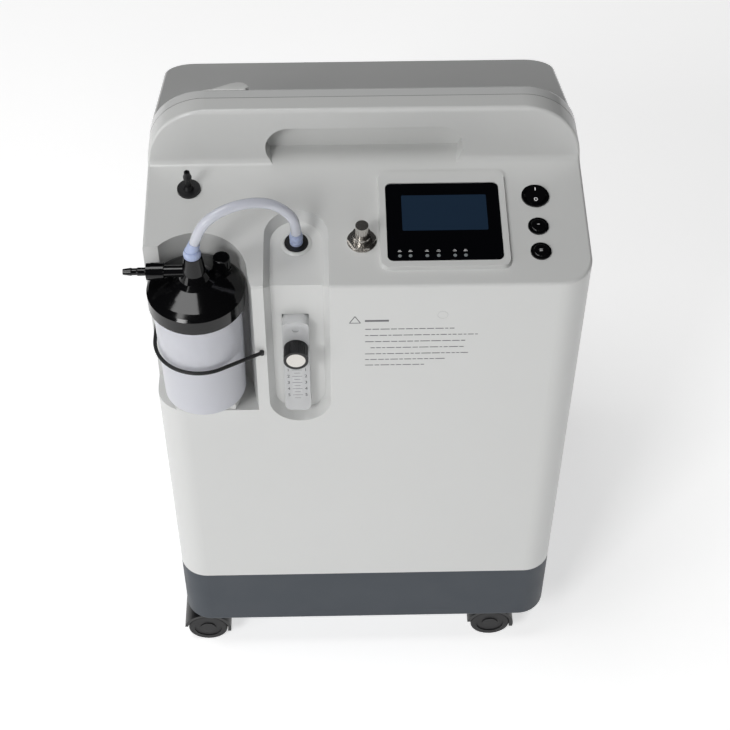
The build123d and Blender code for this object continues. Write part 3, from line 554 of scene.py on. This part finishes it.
@dataclass(frozen=True)
class DisplayPanel:
    """Window with a faint painted glow, and small symbols on the display lens, sized in millimetres.

    Attributes:
        window: Middle across, middle up the deck, width and height of the window.
        window_corner: Radius of the window's corners.
        window_thickness: Thickness of the window.
        lens_rise: Height of the lens above the deck.
        lamps: Places of the lamps across the deck.
        lamp_v: Place of the lamps up the deck.
        bars: Distance above the lamp and width of the two bars of a symbol.
        bar_stroke: Thickness of a bar.
    """

    window: tuple[float, float, float, float] = (64.6, 72.05, 70.2, 36.9)
    window_corner: float = 1.2
    window_thickness: float = 0.12
    lens_rise: float = 3.0
    lamps: tuple[float, ...] = (26.4, 35.0, 48.5, 57.8, 71.0, 79.7)
    lamp_v: float = 27.8
    bars: tuple[tuple[float, float], ...] = ((4.4, 3.2), (5.6, 1.8))
    bar_stroke: float = 0.5

    def build(self, cabinet: Cabinet, palette: Palette) -> None:
        """Makes the window and the marks beside the lamps."""
        x, v, width, height = self.window
        place = cabinet.deck(x, v, self.lens_rise + 0.01)
        size = (width, height, self.window_thickness)

        def pane(bm: bmesh.types.BMesh) -> None:
            add_plate(bm, place, size, self.window_corner)

        # The window is drawn in the painted-glow material.
        link_mesh("display_glass_window", "cabinet", palette.navy_painted_glow, pane)

        def marks(bm: bmesh.types.BMesh) -> None:
            for lamp in self.lamps:
                for above, length in self.bars:
                    place = cabinet.deck(lamp, self.lamp_v + above, self.lens_rise + 0.03)
                    add_flat(bm, place, length, self.bar_stroke)

        link_mesh("lamp_symbols", "cabinet", palette.white, marks)


@dataclass(frozen=True)
class SwitchMarks:
    """White marks on the rocker and the two push buttons, sized in millimetres.

    Attributes:
        x: Place of the three controls across the deck.
        rocker_v: Place of the rocker up the deck.
        button_vs: Places of the upper and the lower button up the deck.
        tilt: Angle of the rocker's paddle at rest, in degrees.
        hinge_rise: Height of the paddle's hinge above the deck.
        bar: Place up the paddle and height above the hinge of the straight mark.
        bar_size: Width and length of the straight mark.
        ring_v: Place of the round mark up the paddle.
        dash_v: Place of a button's first dash, up from the button's middle.
        dash_pitch: Distance between two dashes.
        dash_rise: Height of the dashes above the deck.
        dash_size: Width and thickness of a dash.
    """

    x: float = 141.0
    rocker_v: float = 90.0
    button_vs: tuple[float, float] = (58.2, 32.4)
    tilt: float = 9.0
    hinge_rise: float = 0.6
    bar: tuple[float, float] = (5.0, 3.38)
    bar_size: tuple[float, float] = (0.9, 3.0)
    ring_v: float = -4.8
    dash_v: float = 0.8
    dash_pitch: float = 1.6
    dash_rise: float = 2.42
    dash_size: tuple[float, float] = (2.6, 0.55)

    def build(self, cabinet: Cabinet, palette: Palette) -> None:
        """Makes the marks of each control on the body it moves with."""
        tilt = Matrix.Rotation(math.radians(self.tilt), 4, "X")
        paddle = cabinet.deck(self.x, self.rocker_v, self.hinge_rise) @ tilt

        def rocker(bm: bmesh.types.BMesh) -> None:
            bar = paddle @ Matrix.Translation(Vector((0, *self.bar)) * MM)
            add_flat(bm, bar, *self.bar_size)
            ring = paddle @ Matrix.Translation(Vector((0, self.ring_v, 0)) * MM)
            add_spun(bm, ring, ((1.65, 3.37), (1.3, 3.40), (0.95, 3.37)), 32)

        link_mesh("rocker_marks", "power_rocker", palette.white, rocker)
        for count, body in enumerate(("upper_button", "lower_button"), start=1):
            v = self.button_vs[count - 1]

            def button(bm: bmesh.types.BMesh, v: float = v, count: int = count) -> None:
                for index in range(count):
                    middle = v + self.dash_v - index * self.dash_pitch
                    add_flat(bm, cabinet.deck(self.x, middle, self.dash_rise), *self.dash_size)

            link_mesh(body + "_mark", body, palette.white, button)


@dataclass(frozen=True)
class OutletRing:
    """Pale chamfered ring round the oxygen outlet, sized in millimetres."""

    x: float = -57.5
    v: float = 52.0
    depth: float = 10.0

    def build(self, cabinet: Cabinet, palette: Palette) -> None:
        """Makes the ring on the channel's floor."""
        place = cabinet.deck(self.x, self.v, -self.depth)
        profile = ((9.9, 0.05), (10.0, 1.3), (10.8, 1.5), (12.8, 0.4), (13.0, 0.05))
        link_mesh("outlet_ring", "cabinet", palette[Slot.BODY], lambda bm: add_spun(bm, place, profile))


@dataclass(frozen=True)
class Flowmeter:
    """Scale, numerals and knob disc of the flowmeter, sized in millimetres.

    Attributes:
        x: Middle of the flowmeter.
        bottom: Height of its lower end.
        knob_z: Height of the knob's axis.
        knob_end: How far the knob's end stands in front of the front face.
        tick_count: Number of ticks.
        first_tick: Height of the lowest tick above the lower end.
        tick_pitch: Distance between two ticks.
        tick_widths: Widths of the short and the long ticks.
        tick_stroke: Thickness of a tick.
        highest: Largest numeral.
        numeral_size: Height of the numerals.
        numeral_offset: Distance of the numerals from the middle.
        face: Place of the flowmeter's face, in front of the front face.
    """

    x: float = -59.5
    bottom: float = 380.0
    knob_z: float = 459.5
    knob_end: float = 13.7
    tick_count: int = 11
    first_tick: float = 16.0
    tick_pitch: float = 4.0
    tick_widths: tuple[float, float] = (5.2, 8.4)
    tick_stroke: float = 0.4
    highest: int = 5
    numeral_size: float = 5.0
    numeral_offset: float = 7.4
    face: float = -1.0

    def build(self, cabinet: Cabinet, palette: Palette) -> None:
        """Makes the printed scale and the disc on the knob."""

        def ticks(bm: bmesh.types.BMesh) -> None:
            for index in range(self.tick_count):
                z = self.bottom + self.first_tick + index * self.tick_pitch
                place = cabinet.front(self.x, z, self.face + PRINT_LIFT)
                add_flat(bm, place, self.tick_widths[index % 2], self.tick_stroke)

        link_mesh("flow_scale", "cabinet", palette.ink, ticks)
        for index in range(self.highest):
            z = self.bottom + self.first_tick + (index * 2 + 1) * self.tick_pitch
            for side in (-1, 1):
                place = cabinet.front(self.x + side * self.numeral_offset, z, self.face + PRINT_LIFT)
                mesh = text_mesh(str(self.highest - index), self.numeral_size, place)
                mesh.materials.append(palette.ink)
                label = "left" if side < 0 else "right"
                piece = bpy.data.objects.new(f"flow_numeral_{label}_{index + 1}", mesh)
                bpy.context.scene.collection.objects.link(piece)
                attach(piece, "cabinet")
        place = cabinet.front(self.x, self.knob_z, 0)
        outline = ((0.0, 0.28), (6.6, 0.18), (7.6, 0.12), (8.0, 0.3), (8.0, 0.58))
        profile = [(radius, self.knob_end - drop) for radius, drop in outline]

        def cap(bm: bmesh.types.BMesh) -> None:
            add_spun(bm, place, profile)

        disc = link_mesh("knob_disc", "flow_knob", palette[Slot.NICKEL], cap)


@dataclass(frozen=True)
class ShellSeam:
    """Fine shadow line where the front and rear shells meet, sized in millimetres.

    Attributes:
        y: Its middle, back from the front face.
        top: Height of the cabinet.
        corner: Radius of the cabinet's upper corners.
        foot: Height where it starts on each side.
        width: Its width.
        arc_steps: Number of steps round each upper corner.
        proud: How far it stands off the shells.
        middle: How far below the top the point lies that it stands away from.
    """

    y: float = 153.0
    top: float = 602.0
    corner: float = 50.0
    foot: float = 131.0
    width: float = 0.55
    arc_steps: int = 60
    proud: float = 0.03
    middle: float = 100.0

    def build(self, cabinet: Cabinet, palette: Palette) -> None:
        """Makes the thin band over both side walls and the top."""
        half = cabinet.half_width / MM

        def band(bm: bmesh.types.BMesh) -> None:
            path = [(-half, self.foot)]
            for side, start in ((-1, 180), (1, 90)):
                for step in range(self.arc_steps + 1):
                    angle = math.radians(start - step * 90 / self.arc_steps)
                    x = side * (half - self.corner) + self.corner * math.cos(angle)
                    path.append((x, self.top - self.corner + self.corner * math.sin(angle)))
            path.append((half, self.foot))
            verts = [bm.verts.new(cabinet.point(x, self.y - self.width / 2, z)) for x, z in path]
            edges = [bm.edges.new(pair) for pair in zip(verts, verts[1:])]
            grown = bmesh.ops.extrude_edge_only(bm, edges=edges)["geom"]
            moved = [item for item in grown if isinstance(item, bmesh.types.BMVert)]
            bmesh.ops.translate(bm, vec=(0, self.width * MM, 0), verts=moved)
            for vert in bm.verts:
                away = vert.co - cabinet.point(0, self.y, self.top - self.middle)
                away.y = 0
                vert.co += away.normalized() * self.proud * MM

        link_mesh("shell_seam", "cabinet", palette.seam, band)


@dataclass(frozen=True)
class HoseHook:
    """Small tab behind the handle ridge, where the patient's tube is looped, sized in millimetres.

    Attributes:
        outline: X and Y of the tab's corners, seen from above.
        low: Height of its underside.
        high: Height of its top.
        rounding: Rounding of its upper edges.
    """

    outline: tuple[tuple[float, float], ...] = (
        (-137.0, 164.0),
        (-128.0, 165.6),
        (-119.0, 169.6),
        (-112.0, 173.0),
        (-106.0, 174.6),
        (-101.0, 174.0),
        (-97.5, 171.4),
        (-96.0, 168.0),
        (-98.5, 166.4),
        (-98.0, 164.0),
    )
    low: float = 593.0
    high: float = 601.9
    rounding: float = 1.2

    def build(self, cabinet: Cabinet, palette: Palette) -> None:
        """Makes the tab in place of the plain one."""

        def tab(bm: bmesh.types.BMesh) -> None:
            verts = [bm.verts.new(cabinet.point(x, y, self.low)) for x, y in self.outline]
            floor = bm.faces.new(verts)
            grown = bmesh.ops.extrude_face_region(bm, geom=[floor])["geom"]
            raised = [item for item in grown if isinstance(item, bmesh.types.BMVert)]
            bmesh.ops.translate(bm, vec=(0, 0, (self.high - self.low) * MM), verts=raised)
            rim = {edge for vert in raised for edge in vert.link_edges if edge.other_vert(vert) in raised}
            size = self.rounding * MM
            bmesh.ops.bevel(
                bm, geom=list(rim), offset=size, segments=4, profile=0.5, affect="EDGES", material=-1
            )

        hook = link_mesh("hose_hook", "cabinet", palette[Slot.BODY], tab)
        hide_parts("cord_hook")


@dataclass(frozen=True)
class OxygenHose:
    """Soft hose between the outlet and the humidifier, in metres.

    Attributes:
        route: Control points of the centreline, from the humidifier's connector to the outlet's.
        diameter: Outside diameter.
        length: Real length along the centreline; not used.
    """

    route: tuple[tuple[float, float, float], ...] = (
        (-0.13011, -0.13791, 0.56655),
        (-0.12667, -0.13638, 0.57688),
        (-0.11975, -0.13315, 0.58600),
        (-0.10685, -0.12745, 0.59200),
        (-0.08855, -0.11935, 0.59200),
        (-0.07055, -0.11135, 0.58450),
        (-0.05705, -0.10735, 0.57100),
        (-0.05075, -0.10537, 0.55816),
        (-0.05075, -0.10324, 0.54381),
    )
    diameter: float = 0.0084
    length: float = 0.125

    def build(self, palette: Palette) -> None:
        curve = bpy.data.curves.new("oxygen_hose_line", "CURVE")
        curve.dimensions = "3D"
        curve.bevel_depth = self.diameter / 2
        curve.bevel_resolution = 8
        curve.resolution_u = 16
        curve.use_fill_caps = True
        spline = curve.splines.new("NURBS")
        spline.points.add(len(self.route) - 1)
        for point, place in zip(spline.points, self.route):
            point.co = (*place, 1.0)
        spline.order_u = 3
        spline.use_endpoint_u = True
        curve.materials.append(palette[Slot.HOSE])
        hose = bpy.data.objects.new("hose", curve)
        bpy.context.scene.collection.objects.link(hose)
        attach(hose, "cabinet")
        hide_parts("oxygen_hose")


# ---------------------------------------------------------------- studio
@dataclass(frozen=True)
class Lamp:
    """One soft rectangular light.

    Attributes:
        name: Object name.
        place: Where it stands.
        size: Length of its side.
        power: Power in watts.
    """

    name: str
    place: tuple[float, float, float]
    size: float
    power: float


@dataclass(frozen=True)
class Studio:
    """Floor, lamps, surroundings and camera, in metres and degrees.

    Attributes:
        target: Point that the lamps are aimed at.
        lamps: The lamps.
        floor_size: Half the floor's side.
        surround: Strength of the surround at the front and at the back.
        fade: Where the surround starts and stops changing, from -1 at the front to 1 at the back.
        eye: Place of the camera.
        pitch: Turn of the camera up from straight down.
        yaw: Turn of the camera about the vertical.
        lens: Focal length in millimetres.
        sensor: Width of the sensor in millimetres.
        shift: Shift of the lens across and up.
    """

    target: tuple[float, float, float] = (0.0, 0.0, 0.35)
    lamps: tuple[Lamp, ...] = (
        Lamp("key_lamp", (-1.5, -2.3, 2.2), 0.9, 34.0),
        Lamp("front_lamp", (0.25, -2.6, 2.0), 0.5, 5.0),
        Lamp("top_lamp", (-0.7, -0.1, 2.9), 1.2, 24.0),
        Lamp("left_lamp", (-2.3, -1.5, 0.9), 1.0, 9.0),
    )
    floor_size: float = 8.0
    surround: tuple[float, float] = (0.58, 0.16)
    fade: tuple[float, float] = (-0.8, 0.5)
    eye: tuple[float, float, float] = (-0.0212, -1.0447, 1.4337)
    pitch: float = 42.37
    yaw: float = -1.18
    lens: float = 78.26
    sensor: float = 36.0
    shift: tuple[float, float] = (0.0123, -0.0205)

    def build(self, palette: Palette) -> None:
        """Makes the whole studio."""
        self._floor(palette)
        for lamp in self.lamps:
            self._lamp(lamp)
        self._surroundings()
        bpy.context.scene.view_settings.view_transform = "Standard"
        self._camera()

    def _surroundings(self) -> None:
        """Makes a plain surround that is brighter towards the front than towards the back."""
        world = bpy.data.worlds.new("studio")
        world.use_nodes = True
        tree = world.node_tree
        back = tree.nodes["Background"]
        place = tree.nodes.new("ShaderNodeTexCoord")
        split = tree.nodes.new("ShaderNodeSeparateXYZ")
        fade = tree.nodes.new("ShaderNodeMapRange")
        fade.inputs["From Min"].default_value, fade.inputs["From Max"].default_value = self.fade
        fade.inputs["To Min"].default_value, fade.inputs["To Max"].default_value = self.surround
        tree.links.new(place.outputs["Generated"], split.inputs["Vector"])
        tree.links.new(split.outputs["Y"], fade.inputs["Value"])
        tree.links.new(fade.outputs["Result"], back.inputs["Strength"])
        bpy.context.scene.world = world

    def _floor(self, palette: Palette) -> None:
        """Makes the pale floor."""
        bm = bmesh.new()
        bmesh.ops.create_grid(bm, x_segments=2, y_segments=2, size=self.floor_size)
        mesh = bpy.data.meshes.new("floor")
        bm.to_mesh(mesh)
        bm.free()
        mesh.materials.append(palette.floor)
        floor = bpy.data.objects.new("floor", mesh)
        bpy.context.scene.collection.objects.link(floor)

    def _lamp(self, lamp: Lamp) -> None:
        """Makes one area light aimed at the machine."""
        data = bpy.data.lights.new(lamp.name, "AREA")
        data.size = lamp.size
        data.energy = lamp.power
        light = bpy.data.objects.new(lamp.name, data)
        light.location = lamp.place
        aim = Vector(self.target) - Vector(lamp.place)
        light.rotation_euler = aim.to_track_quat("-Z", "Y").to_euler()
        bpy.context.scene.collection.objects.link(light)

    def _camera(self) -> None:
        """Makes the camera."""
        data = bpy.data.cameras.new("camera")
        data.lens = self.lens
        data.sensor_width = self.sensor
        data.shift_x, data.shift_y = self.shift
        camera = bpy.data.objects.new("camera", data)
        camera.location = self.eye
        camera.rotation_euler = (math.radians(self.pitch), 0, math.radians(self.yaw))
        bpy.context.scene.collection.objects.link(camera)
        bpy.context.scene.camera = camera


# ---------------------------------------------------------------- whole
@dataclass
class Concentrator:
    """The whole machine: CAD nodes with their finishes, and the pieces made here."""

    frame: dict
    palette: Palette
    cabinet: Cabinet = field(default_factory=Cabinet)

    def build(self) -> None:
        """Finishes the CAD nodes and adds every piece."""
        self._finish_nodes()
        parts = (
            FrontPrint(),
            Dimple(),
            DisplayPanel(),
            SwitchMarks(),
            OutletRing(),
            Flowmeter(),
            ShellSeam(),
            HoseHook(),
        )
        for part in parts:
            part.build(self.cabinet, self.palette)
            LOG.info("made %s", type(part).__name__)
        OxygenHose().build(self.palette)

    def _finish_nodes(self) -> None:
        """Gives each CAD node the procedural material of its slot."""
        slots = {row["node"]: Slot(row["material_slot"]) for row in self.frame["record"]["subparts"]}
        for name, node in self.frame["nodes"].items():
            node.data.materials.clear()
            node.data.materials.append(self.palette[slots[name]])


def main() -> None:
    """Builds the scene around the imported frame."""
    logging.basicConfig(level=logging.INFO)
    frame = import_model()
    palette = Palette()
    Concentrator(frame, palette).build()
    Studio().build(palette)


if __name__ == "__main__":
    main()
